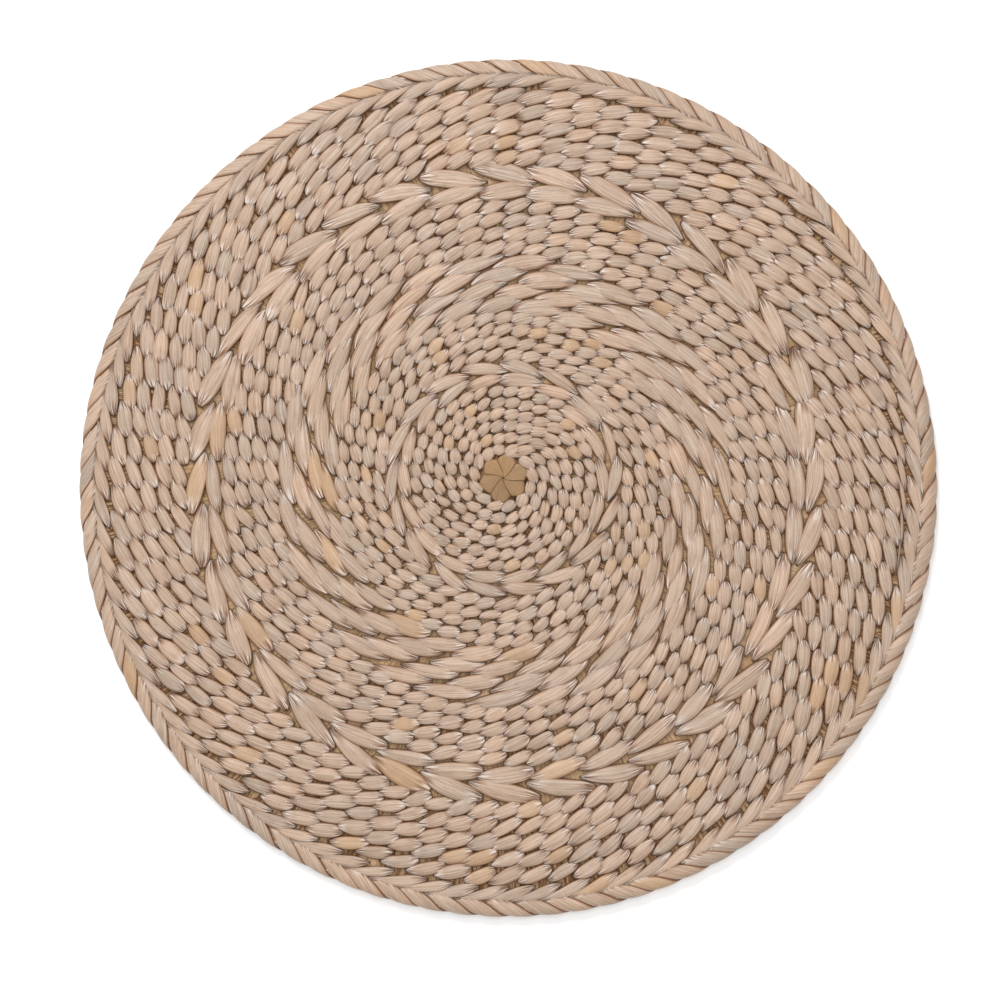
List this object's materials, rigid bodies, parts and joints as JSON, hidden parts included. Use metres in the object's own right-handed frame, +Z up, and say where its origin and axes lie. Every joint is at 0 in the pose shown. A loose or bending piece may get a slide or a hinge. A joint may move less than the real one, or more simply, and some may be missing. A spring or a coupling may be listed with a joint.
{
  "type": "chair seat pad",
  "caption": "Flat round seat pad twined from dried leaf strands over radial leaf spokes, with a folded star centre and a plaited rim.",
  "frame": {"origin": "middle of the round rim, on the plane the underside rests on", "axes": "+Z up out of the seat face; +X and +Y lie in the pad, which has no front"},
  "size_m": [0.38, 0.3798, 0.0096],
  "materials": {
    "star_leaf": "folded dry leaf, matte",
    "spoke_leaf": "dry leaf strap, matte, ribbed lengthwise",
    "strand_leaf_over": "twined dry leaf, satin",
    "strand_leaf_under": "twined dry leaf, satin",
    "rim_leaf": "plaited dry leaf, satin"
  },
  "bodies": {
    "root": {"centre_star": "star_leaf", "spoke_01": "spoke_leaf", "spoke_02": "spoke_leaf", "spoke_03": "spoke_leaf", "spoke_04": "spoke_leaf", "spoke_05": "spoke_leaf", "spoke_06": "spoke_leaf", "spoke_07": "spoke_leaf", "spoke_08": "spoke_leaf", "spoke_09": "spoke_leaf", "spoke_10": "spoke_leaf", "spoke_11": "spoke_leaf", "spoke_12": "spoke_leaf", "spoke_13": "spoke_leaf", "spoke_14": "spoke_leaf", "spoke_15": "spoke_leaf", "spoke_16": "spoke_leaf", "spoke_17": "spoke_leaf", "spoke_18": "spoke_leaf", "spoke_19": "spoke_leaf", "spoke_20": "spoke_leaf", "spoke_21": "spoke_leaf", "spoke_22": "spoke_leaf", "spoke_23": "spoke_leaf", "spoke_24": "spoke_leaf", "spoke_25": "spoke_leaf", "spoke_26": "spoke_leaf", "spoke_27": "spoke_leaf", "spoke_28": "spoke_leaf", "spoke_29": "spoke_leaf", "spoke_30": "spoke_leaf", "spoke_31": "spoke_leaf", "spoke_32": "spoke_leaf", "spoke_33": "spoke_leaf", "spoke_34": "spoke_leaf", "spoke_35": "spoke_leaf", "spoke_36": "spoke_leaf", "strand_heart_over": "strand_leaf_over", "strand_heart_under": "strand_leaf_under", "strand_inner_chevron_a_over": "strand_leaf_over", "strand_inner_chevron_a_under": "strand_leaf_under", "strand_inner_chevron_b_over": "strand_leaf_over", "strand_inner_chevron_b_under": "strand_leaf_under", "strand_inner_fine_over": "strand_leaf_over", "strand_inner_fine_under": "strand_leaf_under", "strand_broad_over": "strand_leaf_over", "strand_broad_under": "strand_leaf_under", "strand_outer_fine_over": "strand_leaf_over", "strand_outer_fine_under": "strand_leaf_under", "strand_outer_chevron_a_over": "strand_leaf_over", "strand_outer_chevron_a_under": "strand_leaf_under", "strand_outer_chevron_b_over": "strand_leaf_over", "strand_outer_chevron_b_under": "strand_leaf_under", "strand_border_fine_over": "strand_leaf_over", "strand_border_fine_under": "strand_leaf_under", "rim_plait_over": "rim_leaf", "rim_plait_under": "rim_leaf", "rim_edge_braid": "rim_leaf"}
  },
  "joints": []
}
